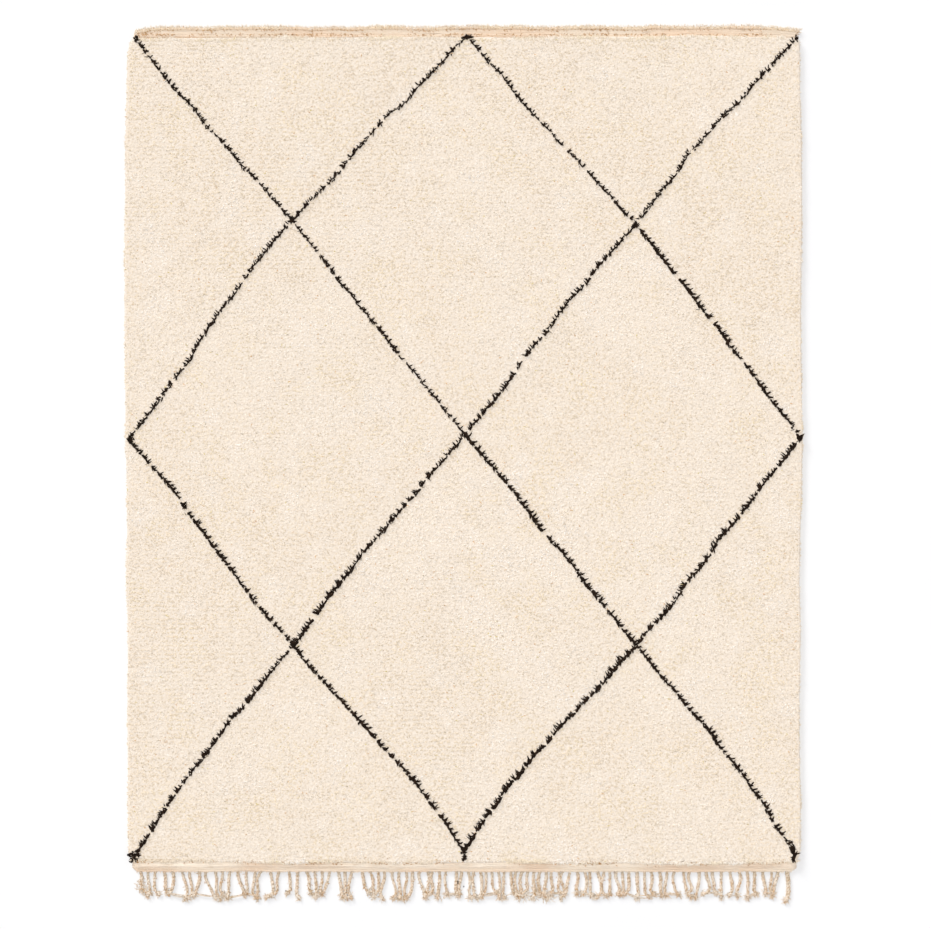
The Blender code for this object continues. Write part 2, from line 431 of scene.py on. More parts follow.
def rolled_hem_wool():
    """Coarse tan wool wound by hand over the head edge: fuzzy, and flecked every 8 mm with brown
    hair. The turns of single yarn are drawn as lumps of 5 mm, so that they show."""
    material, tree = wool("rolled_hem_wool", sheen=0.15)
    dye(
        tree, "#EBD6BA",
        (spots(tree, 90, 0.40, 0.60), "#E8CFB4"),
        (spots(tree, 8, 0.56, 0.70), "#C19E76"),
    )
    raise_lumps(tree, 5, 1.2)
    return material


def back_of_knots_wool():
    """The underside of hand-knotted wool, beaten down hard: firm, matt and ivory, and dark where
    the lattice is knotted. Backs of knots 5 mm wide are drawn as lumps of 8 mm, so that they show."""
    material, tree = wool("back_of_knots_wool")
    dark = add_node(tree, "ShaderNodeAttribute", {"attribute_name": "dark_knot"}).outputs["Fac"]
    dye(tree, "#E8D8BF", (spots(tree, 8, 0.40, 0.70), "#CDB796"), (dark, "#2A1E15"))
    raise_lumps(tree, 8, 1.5, stretch=(0.7, 1, 1))
    return material


def twisted_warp_wool():
    """Wool warp, spun hard and twisted into cords: matt beige that changes every 60 mm, and darker
    every 22 mm where it has been handled. Where it leaves the band it is greyer with painted shade.
    Single brown hairs are too fine to show, so they are drawn as spots of 5 mm."""
    material, tree = wool("twisted_warp_wool", sheen=0.15)
    dye(
        tree, "#EADCCB",
        (spots(tree, 60, 0.40, 0.62), "#E3CEB8"),
        (spots(tree, 22, 0.55, 0.72), "#CDB79B"),
        (spots(tree, 5, 0.50, 0.66), "#AB9475"),
        # painted shade: greyer over the last 26 mm of the cords before the band
        (by_place(tree, "Y", FOOT_Y - 0.026, FOOT_Y - 0.002, 0.8), "#BBAA92"),
    )
    raise_lumps(tree, 4, 0.6)
    return material


def rolled_emulsion():
    """White emulsion paint, rolled on a flat floor: matt, with hardly any change of tone over
    patches of 900 mm. The stipple of a roller is too fine to show and is left out."""
    material = bpy.data.materials.new("rolled_emulsion")
    material.use_nodes = True
    tree = material.node_tree
    dye(tree, "#EEEEEF", (spots(tree, 900, 0.3, 0.7), "#F0F0F0"))
    shader = tree.nodes["Principled BSDF"]
    shader.inputs["Roughness"].default_value = 1.0
    shader.inputs["Specular IOR Level"].default_value = 0.0
    return material


# ---------------------------------------------------------------- the lattice


class Arm(NamedTuple):
    """One side of a diamond: a line of dark knots from one crossing to the next. Walking along it,
    it bows to the right by so many mm at its middle, and by so many more at a quarter of the way."""

    start: str
    end: str
    width_mm: float
    bow_mm: float
    skew_mm: float


CROSSINGS = {
    "head_left": (-1.170, 1.518),
    "head_middle": (0.012, 1.524),
    "head_right": (1.176, 1.512),
    "upper_left": (-0.609, 0.869),
    "upper_right": (0.611, 0.855),
    "left": (-1.192, 0.091),
    "centre": (0.005, 0.110),
    "right": (1.196, 0.096),
    "lower_left": (-0.604, -0.641),
    "lower_right": (0.613, -0.638),
    "foot_left": (-1.173, -1.394),
    "foot_middle": (0.001, -1.368),
    "foot_right": (1.176, -1.385),
}
ARMS = (
    Arm("head_left", "upper_left", 7, 8, 0),
    Arm("upper_left", "centre", 6, 6, -2),
    Arm("centre", "lower_right", 13, -1, -2),
    Arm("lower_right", "foot_right", 12, -22, 7),
    Arm("head_right", "upper_right", 7, 13, -4),
    Arm("upper_right", "centre", 9, 6, 5),
    Arm("centre", "lower_left", 14, 12, -1),
    Arm("lower_left", "foot_left", 12, 22, -2),
    Arm("head_middle", "upper_left", 6, 4, 0),
    Arm("upper_left", "left", 7, 7, 8),
    Arm("left", "lower_left", 11, 0, -8),
    Arm("lower_left", "foot_middle", 15, -16, 8),
    Arm("head_middle", "upper_right", 6, 5, 1),
    Arm("upper_right", "right", 13, -7, -2),
    Arm("right", "lower_right", 12, -2, 5),
    Arm("lower_right", "foot_middle", 18, 22, -8),
)


class Knots(NamedTuple):
    """The dark knots of the lattice, an array for each of their values."""

    x: np.ndarray
    y: np.ndarray
    fullness: np.ndarray
    along: np.ndarray
    step: np.ndarray


def lattice_knots():
    """Knots along every arm, about a row of the weave apart, each fuller or leaner than the last."""
    rng = np.random.default_rng(23)
    found = []
    for arm in ARMS:
        start, end = np.array(CROSSINGS[arm.start]), np.array(CROSSINGS[arm.end])
        length = np.hypot(*(end - start))
        count = int(length / KNOT_STEP)
        share = (np.arange(count) + 0.5 + rng.uniform(-0.28, 0.28, count)) / count
        ahead = (end - start) / length
        right = np.array([ahead[1], -ahead[0]])
        aside = arm.bow_mm * np.sin(math.pi * share) + arm.skew_mm * np.sin(2 * math.pi * share)
        zigzag = np.interp(share * 14, np.arange(16), rng.normal(0, 3.6, 16))
        zigzag = zigzag * np.sin(math.pi * share) ** 0.5  # none at the crossings
        place = start + (end - start) * share[:, None] + right * ((aside + zigzag) / 1000)[:, None]
        uneven = np.interp(share * 9, np.arange(11), rng.uniform(0.6, 1.4, 11))
        uneven = uneven * rng.uniform(0.38, 1.68, count)
        heading = np.full(count, math.atan2(ahead[1], ahead[0]))
        step = np.full(count, length / count)
        found.append([place[:, 0], place[:, 1], arm.width_mm / 10 * uneven, heading, step])
    return Knots(*(np.concatenate(values) for values in zip(*found)))


LATTICE = lattice_knots()


def nearness_to_lattice(x, y, reach):
    """Share from 0 to 1 of how near each place is to a dark knot, 0 past that reach."""
    near = np.zeros(len(x))
    cells = {}
    for knot in zip(LATTICE.x, LATTICE.y):
        cells.setdefault((int(knot[0] // 0.05), int(knot[1] // 0.05)), []).append(knot)
    keys = np.stack([x // 0.05, y // 0.05], 1).astype(int)
    order = np.lexsort((keys[:, 1], keys[:, 0]))
    splits = np.flatnonzero(np.any(np.diff(keys[order], axis=0) != 0, axis=1)) + 1
    for group in np.split(order, splits):
        i, j = keys[group[0]]
        around = [knot for di in (-1, 0, 1) for dj in (-1, 0, 1) for knot in cells.get((i + di, j + dj), ())]
        if around:
            knots = np.array(around)
            gap = np.hypot(x[group, None] - knots[:, 0], y[group, None] - knots[:, 1]).min(1)
            near[group] = np.clip(1 - gap / reach, 0, 1)
    return near


# ---------------------------------------------------------------- the pieces of the pile


def pile_roots(rng):
    """Roots of the cut ends over the whole pile, in rows across the rug that show in places."""
    low, high = PILE_FOOT[1].min() + 0.004, PILE_HEAD[1].max() - 0.004
    rows = int((high - low) / ROW_PITCH)
    count = int(2.42 / YARN_PITCH)
    row = np.repeat(np.arange(rows + 1), count)
    x = (np.tile(np.arange(count), rows + 1) + rng.uniform(0, 1, len(row))) * YARN_PITCH - 1.21
    y = low + (high - low) * row / rows
    tidy = patches(32, x, y, 0.30) > 0.15
    y = y + 0.0024 * patches(31, x, y, 0.08) + rng.normal(0, 1, len(x)) * np.where(tidy, 0.0020, 0.0040)
    inside = inside_by(x, y) > 0.003
    return x[inside], y[inside]


def pile_side(line, y):
    """How far the pile reaches to one side, with its corners rounded off."""
    to_foot, to_head = y - np.mean(PILE_FOOT[1]), np.mean(PILE_HEAD[1]) - y
    corner = 0.016 * np.clip(1 - to_foot / 0.045, 0, 1) ** 2 + 0.010 * np.clip(1 - to_head / 0.030, 0, 1) ** 2
    return on_line(line, y) - corner


def inside_by(x, y):
    """How far inside the outline of the pile each place is."""
    return np.minimum.reduce([
        x + pile_side(PILE_LEFT, y), pile_side(PILE_RIGHT, y) - x,
        y - on_line(PILE_FOOT, x), on_line(PILE_HEAD, x) - y,
    ])


def edge_drop(x, y):
    """How much lower the pile stands in its last few mm, at the sides and at the woven strips."""
    side = np.minimum(x + pile_side(PILE_LEFT, y), pile_side(PILE_RIGHT, y) - x)
    end = np.minimum(y - on_line(PILE_FOOT, x), on_line(PILE_HEAD, x) - y)
    at_side = 0.0045 * np.clip(1 - side / 0.008, 0, 1) ** 2
    at_end = 0.0045 * np.clip(1 - end / 0.007, 0, 1) ** 2
    return np.maximum(at_side, at_end)


def pile_directions(rng, x, y):
    """Which way each cut end lies over: mostly towards the foot, turned this way and that in
    patches, and along the rows where the pile has been pressed."""
    turn = 1.3 * patches(41, x, y, 0.22) + 0.8 * patches(42, x, y, 0.07)
    heading = -math.pi / 2 + turn + rng.normal(0, 1.15, len(x))
    pressed = 0.38 + 0.42 * np.clip(0.5 + 2.0 * patches(43, x, y, 0.24), 0, 1)
    sideways = np.where(rng.random(len(x)) < 0.5, 0.0, math.pi) + rng.normal(0, 0.18, len(x))
    return np.where(rng.random(len(x)) < pressed, sideways, heading)


def field_ends(rng):
    """The ends of the field, thinner on the ground where dark knots take their place."""
    x, y = pile_roots(rng)
    keep = rng.random(len(x)) > CLEARED_UNDER_KNOTS * nearness_to_lattice(x, y, 0.009)
    x, y = x[keep], y[keep]
    count = len(x)
    drop = edge_drop(x, y)
    roots = np.stack([x, y, 0.0095 - 0.8 * drop], 1)
    heading = pile_directions(rng, x, y)
    reach = rng.uniform(0.010, 0.018, count)
    beyond = inside_by(x + reach * np.cos(heading), y + reach * np.sin(heading)) < -0.001
    heading = np.where(beyond, heading + math.pi, heading)
    rise = rng.uniform(0.0122, 0.0148, count) - 0.2 * drop
    tip = rng.uniform(0.0055, 0.0088, count) - 0.2 * drop
    return roots, heading, reach, rise, tip


def edge_ends(rng):
    """The ends round the rim of the pile, which flop over it outwards."""
    roots, headings, lowest = [], [], []
    for line, sign in ((PILE_LEFT, -1), (PILE_RIGHT, 1)):
        count = SIDE_RIM_ENDS
        y = rng.uniform(PILE_FOOT[1].min(), PILE_HEAD[1].max(), count)
        z = rng.uniform(0.0045, 0.0150, count)
        ragged = 0.0024 * patches(44, y, y, 0.06) + 0.0018 * patches(47, y, y, 0.022)
        inset = 0.0145 - 0.25 * (z - 0.0045) + ragged
        roots.append(np.stack([sign * (pile_side(line, y) - inset), y, z], 1))
        headings.append(np.full(count, 0.0 if sign > 0 else math.pi))
        lowest.append(np.full(count, 0.0050))
    for line, sign in ((PILE_FOOT, -1), (PILE_HEAD, 1)):
        count = END_RIM_ENDS
        x = rng.uniform(-1.180, 1.185, count)
        z = rng.uniform(0.0125, 0.0172, count)
        ragged = 0.0034 * patches(45, x, x, 0.09) + 0.0022 * patches(46, x, x, 0.025)
        inset = 0.0105 + rng.uniform(0, 0.008, count) + ragged
        roots.append(np.stack([x, on_line(line, x) - sign * inset, z], 1))
        headings.append(np.full(count, sign * math.pi / 2))
        lowest.append(np.full(count, 0.0112))
    roots = np.concatenate(roots)
    count = len(roots)
    heading = np.concatenate(headings) + rng.normal(0, 0.55, count)
    rise = rng.uniform(0.0020, 0.0050, count)
    tip = rng.uniform(-0.0045, 0.0010, count)
    tip = np.maximum(tip, np.concatenate(lowest) - roots[:, 2])
    return roots, heading, rng.uniform(0.009, 0.016, count), rise, tip


def pile_pieces(ivory, flecks):
    """The ivory ends in strips across the rug, and the flecked ends apart."""
    rng = np.random.default_rng(7)
    roots, heading, reach, rise, tip = (
        np.concatenate(pair) for pair in zip(field_ends(rng), edge_ends(rng))
    )
    x, y = roots[:, 0], roots[:, 1]
    count = len(roots)
    width = YARN_WIDTH * rng.uniform(0.75, 1.25, count)
    curl = rng.normal(0, 0.003, count)

    # From 1 to 6 in 100 ends are flecks, more in some patches: 45 % grey, 30 % tan and 25 % straw.
    draw = rng.random(count) / (0.010 + 0.050 * np.clip(0.5 + 0.9 * patches(51, x, y, 0.11), 0, 1))
    groups = {
        "grey_flecks": draw < 0.45,
        "tan_flecks": (draw >= 0.45) & (draw < 0.75),
        "straw_flecks": (draw >= 0.75) & (draw < 1),
    }
    strip = np.clip(((y - FOOT_Y) / (HEAD_Y - FOOT_Y) * PILE_STRIPS).astype(int), 0, PILE_STRIPS - 1)
    for number in range(PILE_STRIPS):
        groups[f"ivory_pile_{number + 1}"] = (draw >= 1) & (strip == number)

    pieces = []
    for name, chosen in groups.items():
        thin = FLECK_THINNESS if name in flecks else 1.0
        points, faces = yarn_ends(
            roots[chosen], heading[chosen], reach[chosen], rise[chosen], tip[chosen],
            thin * width[chosen], curl=curl[chosen],
        )
        points[:, 2] = np.maximum(points[:, 2], 0.0012)
        pieces.append(mesh_piece(name, points, faces, [flecks.get(name, ivory)]))
    return pieces


class Cluster(NamedTuple):
    """A place where the dark knots bunch up: where it is, how far it spreads, how many ends."""

    x: float
    y: float
    wide: float
    high: float
    ends: int
    heading: float


CLUSTERS = (
    Cluster(-1.163, 1.516, 0.008, 0.005, 14, math.pi),
    Cluster(0.012, 1.520, 0.020, 0.004, 26, 0.0),
    Cluster(-1.180, 0.093, 0.009, 0.008, 16, math.pi),
    Cluster(1.190, 0.098, 0.007, 0.007, 14, 0.6),
    Cluster(-0.609, 0.869, 0.005, 0.007, 8, math.pi / 2),
    Cluster(0.611, 0.855, 0.008, 0.006, 9, math.pi),
    Cluster(0.005, 0.110, 0.006, 0.006, 8, 2.4),
    Cluster(-0.604, -0.641, 0.007, 0.005, 6, 2.4),
    Cluster(0.613, -0.638, 0.006, 0.005, 4, 2.4),
    Cluster(-1.174, -1.383, 0.011, 0.006, 30, 2.8),
    Cluster(-1.170, -1.400, 0.015, 0.006, 34, 0.2),
    Cluster(0.000, -1.370, 0.008, 0.009, 26, 1.2),
    Cluster(0.002, -1.386, 0.003, 0.008, 12, -1.57),
    Cluster(0.000, -1.398, 0.005, 0.003, 7, -2.2),
    Cluster(1.167, -1.364, 0.006, 0.012, 26, 1.9),
    Cluster(1.169, -1.393, 0.004, 0.010, 18, -1.8),
    Cluster(-1.156, -1.371, 0.007, 0.011, 18, 0.9),
    Cluster(1.179, 1.516, 0.006, 0.005, 12, 0.8),
)


class Lay(NamedTuple):
    """How dark knots lie on an arm: which way their long ends lean, how often yarn joins a knot to
    the one before, and how many short and long ends a knot of full size has."""

    lean: float
    joined: float
    short_ends: float
    long_ends: float


RISING_LAY = Lay(2.25, 0.95, 1.8, 1.9)
FALLING_LAY = Lay(0.50, 0.89, 3.0, 1.5)


def dark_ends(rng):
    """Root, heading, reach and width of every dark end: yarn that joins the knots, short ends along
    the line, long ones that lean out of it, stray hairs, and the clusters."""
    found = []

    def add(x, y, heading, reach, width):
        """Notes one dark end."""
        found.append((x, y, heading, reach, width))

    for x, y, fullness, along, step in zip(*LATTICE):
        if rng.random() < 0.02:  # a knot left out
            continue
        rising = math.sin(along) * math.cos(along) > 0
        lay = RISING_LAY if rising else FALLING_LAY
        lean = lay.lean + rng.normal(0, 0.25)
        if rng.random() < lay.joined:
            back = step * rng.uniform(0.3, 0.6)
            for _ in range(2):
                add(
                    x - back * math.cos(along) + rng.normal(0, 0.0014),
                    y - back * math.sin(along) + rng.normal(0, 0.0014), along + rng.normal(0, 0.24),
                    step + rng.uniform(0.002, 0.008),
                    rng.uniform(0.0046, 0.0062) * (0.62 + 0.50 * fullness),
                )
        for _ in range(1 + int(round(lay.short_ends * fullness))):
            add(
                x + rng.normal(0, 0.0022), y + rng.normal(0, 0.0022), along + rng.normal(0.25, 0.45),
                rng.uniform(0.009, 0.016), rng.uniform(0.0048, 0.0066),
            )
        for _ in range(1 + int(round(lay.long_ends * fullness * rng.uniform(0.3, 1.0)))):
            ahead, shift = rng.uniform(0.003, 0.006), rng.uniform(-0.5, 0.5) * step * rising
            add(
                x + ahead * math.cos(lean) + shift * math.cos(along) + rng.normal(0, 0.0015),
                y + ahead * math.sin(lean) + shift * math.sin(along) + rng.normal(0, 0.0015),
                lean + rng.normal(0, 0.25), rng.uniform(0.015, 0.022) * (0.60 + 0.40 * fullness),
                rng.uniform(0.0046, 0.0058),
            )
        if rng.random() < 0.5:  # a stray hair
            add(
                x + rng.normal(0, 0.004), y + rng.normal(0, 0.004), rng.uniform(0, 6.3),
                rng.uniform(0.014, 0.024), rng.uniform(0.0016, 0.0028),
            )
    for cluster in CLUSTERS:
        for _ in range(cluster.ends):
            add(
                cluster.x + rng.normal(0, 0.6) * cluster.wide,
                cluster.y + rng.normal(0, 0.6) * cluster.high,
                cluster.heading + rng.normal(0, 0.7),
                rng.uniform(0.009, 0.017), rng.uniform(0.0040, 0.0062),
            )
    return [np.array(values) for values in zip(*found)]


def dark_lattice(material):
    """The dark cut ends, standing a little higher than the ivory that they lie on."""
    rng = np.random.default_rng(11)
    x, y, heading, reach, width = dark_ends(rng)
    count = len(x)
    back = 0.40 * reach
    x, y = x - back * np.cos(heading), y - back * np.sin(heading)
    drop = edge_drop(x, y)
    roots = np.stack([x, y, 0.0118 - 0.9 * drop], 1)
    rise = rng.uniform(0.011, 0.0145, count)
    tip = rng.uniform(0.0080, 0.0115, count) - 0.3 * drop
    curl = rng.normal(0, 0.003, count)
    points, faces = yarn_ends(roots, heading, reach, rise, tip, width, rings=2, curl=curl)
    return mesh_piece("dark_lattice", points, faces, [material])


def rim_of_grid(rows, columns):
    """Numbers of the points round the rim of a grid."""
    return np.concatenate([
        np.arange(columns), np.arange(1, rows) * columns + columns - 1,
        (rows - 1) * columns + np.arange(columns - 2, -1, -1), np.arange(rows - 2, 0, -1) * columns,
    ])


def slab(name, x, y, top, bottom, materials):
    """A closed slab over a grid of places, from its bottom to its top, the second material below."""
    rows, columns = x.shape
    upper = np.stack([x, y, top], -1).reshape(-1, 3)
    lower = np.stack([x, y, 0 * x + bottom], -1).reshape(-1, 3)
    rim = rim_of_grid(rows, columns)
    quads = grid_faces(rows, columns)
    skirt = np.stack([rim, rim + len(upper), np.roll(rim, -1) + len(upper), np.roll(rim, -1)], 1)
    faces = np.concatenate([quads, skirt, quads[:, ::-1] + len(upper)])
    under = np.arange(len(faces)) >= len(quads) + len(skirt)
    which = under.astype(np.int32) * (len(materials) - 1)
    points = np.concatenate([upper, lower])
    return mesh_piece(name, points, faces, materials, planar=False, face_material=which)


def shares_of(length, count):
    """Shares from 0 to 1 of a length, close together near both ends, where the bed rounds over."""
    rim = np.array([0, 0.003, 0.006, 0.010, 0.015])
    return np.concatenate([rim, np.linspace(0.025, length - 0.025, count), length - rim[::-1]]) / length


def pile_bed(material):
    """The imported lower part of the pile, which closes the gaps between the ends."""
    v, u = np.meshgrid(shares_of(2.92, 140), shares_of(2.40, 110), indexing="ij")
    across = (u - 0.5) * 2.3
    foot, head = on_line(PILE_FOOT, across) + 0.003, on_line(PILE_HEAD, across) - 0.003
    y = foot + v * (head - foot)
    left, right = pile_side(PILE_LEFT, y) - 0.0035, pile_side(PILE_RIGHT, y) - 0.0035
    x = u * (left + right) - left
    z = BED_TOP + 0.0007 * patches(61, x, y, 0.035) - edge_drop(x, y)
    return slab("pile_bed", x, y, z, WEAVE_THICKNESS - 0.0005, [material])


# ---------------------------------------------------------------- the woven ends


def tube(line, wide, high, sides=6):
    """A round yarn with closed ends, along a line of points. Its widths may vary along it."""
    steps = len(line)
    wide, high = np.broadcast_to(wide, steps), np.broadcast_to(high, steps)
    ahead = np.gradient(line, axis=0)
    ahead /= np.linalg.norm(ahead, axis=1)[:, None]
    side = np.cross(ahead, (0, 0, 1.0))
    side /= np.linalg.norm(side, axis=1)[:, None]
    over = np.cross(side, ahead)
    angle = np.linspace(0, 2 * math.pi, sides, endpoint=False)[None, :, None]
    ring = line[:, None] + wide[:, None, None] / 2 * np.cos(angle) * side[:, None]
    ring = ring + high[:, None, None] / 2 * np.sin(angle) * over[:, None]
    quads = grid_faces(steps, sides, closed=True)
    fan = np.array([[0, k, k + 1] for k in range(1, sides - 1)])
    triangles = [quads[:, [0, 1, 2]], quads[:, [0, 2, 3]], fan[:, ::-1], fan + (steps - 1) * sides]
    return ring.reshape(-1, 3), np.concatenate(triangles)


def band_lift(y):
    """How far the foot band swells up: towards its free edge, where the weft is beaten over the
    cords, and towards the first row of knots, which it passes under."""
    to_edge = 0.0030 * np.clip(1 - (y - FOOT_Y) / 0.012, 0, 1)
    return to_edge + 0.0078 * np.clip((y - FOOT_Y - 0.002) / 0.018, 0, 1) * (y < 0)


def foot_edge(x):
    """How far the free edge of the foot band falls back: rounded at both ends and a little wavy."""
    inset = np.minimum(x + on_line(WOVEN_LEFT, FOOT_Y), on_line(WOVEN_RIGHT, FOOT_Y) - x)
    return 0.014 * np.clip(1 - inset / 0.022, 0, 1) ** 2 + 0.0010 * (1 + patches(89, x, 0, 0.06))


def near_foot(y):
    """Share from 1 at the free edge of the foot band to 0 past it."""
    return np.clip((FOOT_Y - y) / 0.04 + 1, 0, 1)


def ground_weave(woven, back):
    """The one cloth of the rug: foot band, the weave under the pile and the strip at the head."""
    band = np.arange(0, 0.046, 0.0023)
    middle = np.linspace(FOOT_Y + 0.06, HEAD_Y - 0.06, 60)
    ys = np.concatenate([FOOT_Y + band, middle, HEAD_Y - 0.0095 - band[::-1]])
    y, u = np.meshgrid(ys, np.linspace(0, 1, 140), indexing="ij")
    left, right = on_line(WOVEN_LEFT, y), on_line(WOVEN_RIGHT, y)
    x = u * (left + right) - left
    y = y - head_dip(x) * np.clip((y - HEAD_Y) / 0.05 + 1, 0, 1) + foot_edge(x) * near_foot(y)
    z = np.where(y > HEAD_Y - 0.036, 0.0062, WEAVE_THICKNESS)
    thinner = 0.60 + 0.40 * np.minimum((y - ys[0]) / 0.0040, 1)  # over the last 4 mm of the foot band
    z = (z + band_lift(y)) * thinner
    piece = slab("ground_weave", x, y, z, 0.0, [woven, back])
    places = np.empty(len(piece.data.vertices) * 3, np.float32)
    piece.data.vertices.foreach_get("co", places)
    dark = nearness_to_lattice(places[0::3], places[1::3], 0.02)
    share = piece.data.attributes.new("dark_knot", "FLOAT", "POINT")
    share.data.foreach_set("value", dark.astype(np.float32))
    return piece


def weft_yarns(material):
    """Weft beaten down in rows over the foot band and the head strip: long yarns, a little wavy."""
    rng = np.random.default_rng(53)
    parts = []
    rows = []
    for along in WEFT_PITCH * np.arange(WEFT_ROWS):
        rows.append((FOOT_Y + 0.0022 + along, 0.0044 + band_lift(FOOT_Y + along)))
    for along in WEFT_PITCH * np.arange(WEFT_ROWS):
        rows.append((HEAD_Y - 0.0375 + along, 0.0064))
    for number, (y, z) in enumerate(rows):
        share = np.linspace(0, 1, WEFT_POINTS)
        left, right = on_line(WOVEN_LEFT, y), on_line(WOVEN_RIGHT, y)
        x = share * (left + right) - left
        wander = 0.0010 * patches(54, x, 0.02 * number, 0.11)
        wander = wander + 0.0005 * patches(55, x, 0.7 * number - 1.5, 0.03)
        lift = 0.0006 * patches(56, x, 0.5 * number - 1.5, 0.05)
        if y < 0:
            wander = wander + foot_edge(x) * near_foot(y)
        line = np.stack([x, y + wander, z + lift], 1)
        wide = 0.0062 * (1 + 0.2 * patches(57, x, 0.4 * number - 1.5, 0.02))
        parts.append(tube(line, wide, 0.0020, sides=6))
    points, faces = join(parts)
    return mesh_piece("weft_yarns", points, faces, [material])


def head_dip(x):
    """How far the head edge falls back towards its two ends."""
    inset = np.minimum(x + on_line(WOVEN_LEFT, HEAD_Y), on_line(WOVEN_RIGHT, HEAD_Y) - x)
    return 0.012 * np.clip(1 - inset / 0.10, 0, 1) ** 1.5


def head_line(x):
    """The Y of the rolled hem's middle."""
    straight = HEAD_Y - 0.0102 - head_dip(x)
    return straight + 0.0038 * patches(83, x, 0, 0.14) + 0.0020 * patches(86, x, 0, 0.045)


def head_hem(material):
    """Yarn wound round the head edge of the cloth, turn beside turn, so the roll has slanting ridges."""
    x = np.linspace(-on_line(WOVEN_LEFT, HEAD_Y), on_line(WOVEN_RIGHT, HEAD_Y), 700)
    inset = np.minimum(x - x.min(), x.max() - x)
    ends = 0.35 + 0.65 * np.sqrt(np.clip(inset / 0.03, 0, 1))
    ridge = 1 + 0.10 * np.sin(2 * math.pi * x / 0.0105 + 2 * patches(81, x, 0, 0.06))
    swell = ends * ridge * (1 + 0.14 * patches(82, x, 0, 0.09))
    line = np.stack([x, head_line(x), 0.0052 + 0 * x], 1)
    points, faces = tube(line, 0.0120 * swell, 0.0088 * swell, sides=8)
    return mesh_piece("head_hem", points, faces, [material])


def loose_hair(name, material, count, places, heading, scatter, reach_mm, width_mm, seed):
    """Fine loose hair on the woven ends and the cords. Places takes a generator and a count."""
    rng = np.random.default_rng(seed)
    reach, width = ((low / 1000, high / 1000) for low, high in (reach_mm, width_mm))
    roots = places(rng, count)
    points, faces = yarn_ends(
        roots, heading + rng.normal(0, scatter, count), rng.uniform(*reach, count),
        rng.uniform(0.001, 0.004, count), rng.uniform(-0.002, 0.003, count),
        rng.uniform(*width, count), curl=rng.normal(0, 0.002, count),
    )
    points[:, 2] = np.maximum(points[:, 2], 0.0006)
    return mesh_piece(name, points, faces, [material])


def along_hem(rng, count):
    """Places all over the rolled hem."""
    x = rng.uniform(-1.168, 1.203, count)
    y = head_line(x) + rng.uniform(-0.004, 0.0080, count)
    return np.stack([x, y, rng.uniform(0.005, 0.0105, count)], 1)


def along_seam(rng, count):
    """Places in the groove between hem and strip, bunched, and a few where the pile begins."""
    x = rng.uniform(-1.16, 1.19, 4 * count)
    bunched = patches(84, x, 0, 0.05) + 0.6 * patches(85, x, 0, 0.3)
    x = x[bunched > rng.uniform(-1.2, 0.9, 4 * count)][:count]
    low = rng.random(count) < 0.58
    y = np.where(low, HEAD_Y - 0.0325, head_line(x) - 0.0055) + rng.normal(0, 0.0013, count)
    return np.stack([x, y, np.where(low, 0.0090, 0.0085)], 1)


def along_foot(rng, count):
    """Places on the foot band, most of them at its free edge."""
    x = rng.uniform(-1.165, 1.165, count)
    at_edge = rng.random(count) < 0.6
    y = FOOT_Y + np.where(at_edge, rng.uniform(0, 0.004, count), rng.uniform(0, 0.024, count))
    return np.stack([x, y, band_lift(y) + rng.uniform(0.0040, 0.0062, count)], 1)


def first_knots(rng, count):
    """Places along the first row of knots above the foot band, bunched."""
    x = rng.uniform(-1.165, 1.165, 6 * count)
    bunched = patches(87, x, 0, 0.045) + 0.7 * patches(88, x, 0, 0.25)
    x = x[bunched > rng.uniform(-0.4, 1.3, 6 * count)][:count]
    y = on_line(PILE_FOOT, x) + rng.normal(0.004, 0.004, len(x))
    return np.stack([x, y, 0.0155 + 0 * x], 1)


# ---------------------------------------------------------------- the fringe


class Strand(NamedTuple):
    """One twisted warp end of the fringe, from its root at the foot band to its tip."""

    root: float
    tip: float
    length: float
    bow: float
    group: int


def fringe_roots(rng):
    """Roots from left to right, in groups whose strands lean together, as a list of groups."""
    groups = []
    x = FIRST_ROOT
    while x < LAST_ROOT:
        group = []
        for _ in range(rng.choice((1, 2, 2, 2, 3, 3, 4))):
            if x > LAST_ROOT:
                break
            group.append(x)
            dense = math.exp(-(((x - DENSE_PLACE) / DENSE_REACH) ** 2))
            pitch = EDGE_PITCH + (DENSE_PITCH - EDGE_PITCH) * dense
            step = pitch * rng.uniform(0.80, 1.15)
            if any(x < gap < x + step for gap in WIDE_GAPS):
                step += GAP_WIDENING
            x += step
        x += 0.0015
        groups.append(group)
    return groups


def fringe_strands():
    """The same strands as the part's comb."""
    rng = random.Random(FRINGE_SEED)
    strands = []
    for number, group in enumerate(fringe_roots(rng)):
        middle = sum(group) / len(group)
        drift = rng.uniform(-0.005, 0.005)
        for place, root in enumerate(group):
            tip = middle + drift + (place - (len(group) - 1) / 2) * TIP_PITCH
            length = SHORTEST_STRAND + 0.020 * rng.random() ** 1.3
            strands.append(Strand(root, tip, length, rng.uniform(-0.0012, 0.0012), number))
    strands[-1] = strands[-1]._replace(length=LONGEST_STRAND - CLEARANCE)
    return strands


def strand_lines():
    """Points along the middle of every cord, from under the foot band to its tip."""
    rng = np.random.default_rng(59)
    lines = []
    for strand in STRANDS:
        share = np.linspace(0, 1, CORD_POINTS)
        x = strand.root + (strand.tip - strand.root) * smooth(share)
        x = x + (strand.bow + rng.normal(0, 0.0050)) * np.sin(math.pi * share)
        x = x + rng.normal(0, 0.0026) * np.sin(2 * math.pi * share)
        x = x + rng.normal(0, 0.0095) * np.clip((share - 0.72) / 0.25, 0, 1) ** 2  # a hooked tip
        y = FOOT_Y + 0.004 - share * (strand.length - 0.010)
        z = 0.0028 + 0.0010 * smooth(np.clip(share / 0.2, 0, 1))
        lines.append(np.stack([x, y, z], 1))
    return lines


STRANDS = fringe_strands()
STRAND_LINES = strand_lines()


